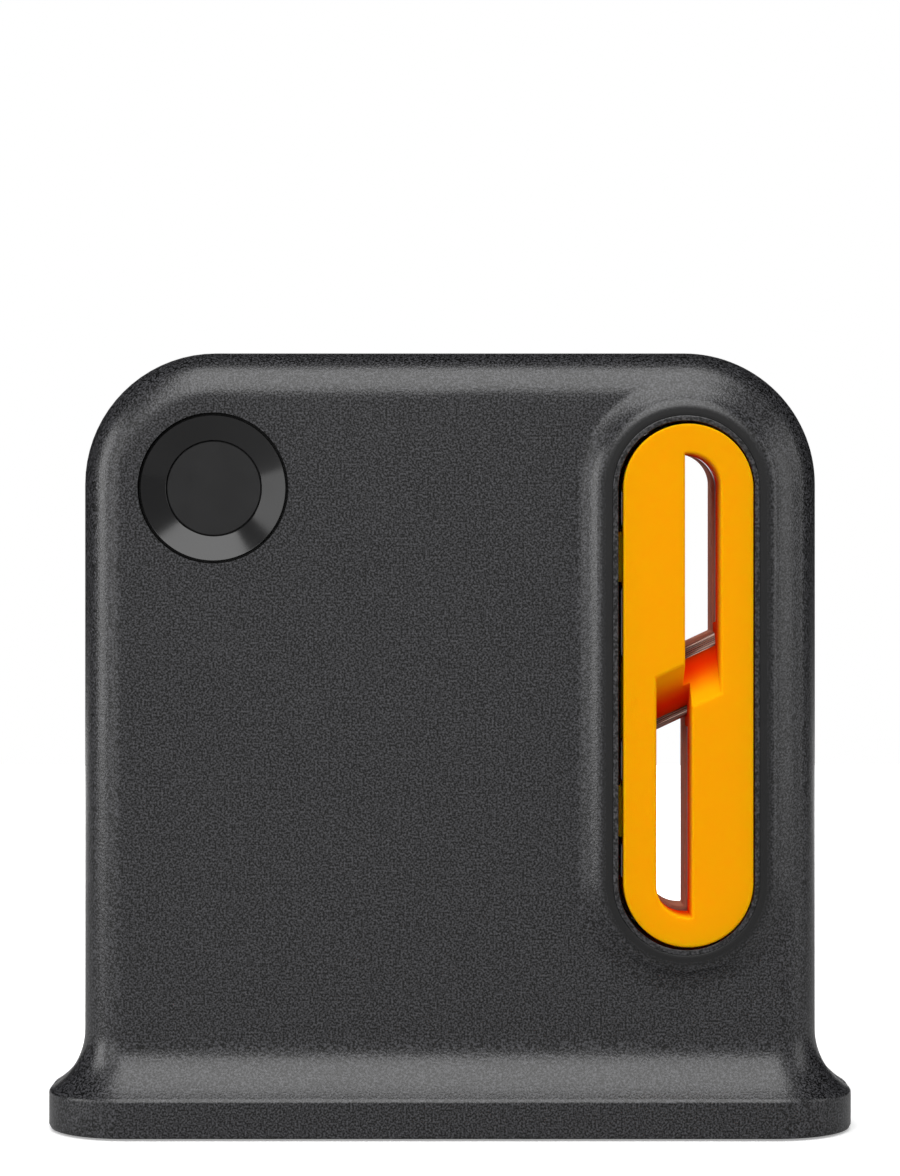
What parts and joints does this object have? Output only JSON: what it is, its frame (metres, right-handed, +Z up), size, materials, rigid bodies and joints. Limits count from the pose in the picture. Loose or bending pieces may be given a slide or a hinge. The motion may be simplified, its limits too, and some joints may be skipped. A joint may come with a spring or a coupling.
{
  "type": "scissors sharpener",
  "caption": "Upright two-shell sharpener on a flared foot, with a pull-out cartridge whose S-shaped slot guides scissor blades over slanted fluted rods.",
  "frame": {"origin": "on the surface it stands on, under the middle of the foot", "axes": "+Z up, -Y towards the front where the cartridge shows, +X to the right seen from the front"},
  "size_m": [0.0942, 0.022, 0.091],
  "materials": {
    "housing_plastic": "charcoal ABS with a fine spark-eroded grain",
    "inner_plastic": "smooth charcoal ABS",
    "guide_plastic": "terracotta brown glass-filled nylon",
    "ring_plastic": "polished black",
    "cartridge_plastic": "satin orange",
    "rod_steel": "fine flutes along the rod",
    "sheet_steel": "rolled sheet",
    "screw_steel": "zinc plated",
    "sole_rubber": "matt"
  },
  "bodies": {
    "housing": {"front_housing": "housing_plastic", "rear_housing": "housing_plastic", "badge_ring": "ring_plastic", "base_plate": "inner_plastic", "sole_pad": "sole_rubber", "window_liner": "housing_plastic", "exit_guide": "guide_plastic", "housing_screw_1": "screw_steel", "housing_screw_2": "screw_steel", "housing_screw_3": "screw_steel", "housing_screw_4": "screw_steel", "base_screw_1": "screw_steel", "base_screw_2": "screw_steel", "base_screw_3": "screw_steel", "base_screw_4": "screw_steel"},
    "cartridge": {"cartridge_cover": "cartridge_plastic", "rod_retainer": "sheet_steel", "upper_rod": "rod_steel", "lower_rod": "rod_steel", "cartridge_screw_1": "screw_steel", "cartridge_screw_2": "screw_steel", "cartridge_screw_3": "screw_steel", "cartridge_screw_4": "screw_steel", "left_spring": "sheet_steel", "right_spring": "sheet_steel"}
  },
  "joints": [
    {"name": "cartridge_slide", "type": "slide", "parent": "housing", "child": "cartridge", "axis": [0, -1, 0], "range_m": [0, 0.012]}
  ]
}
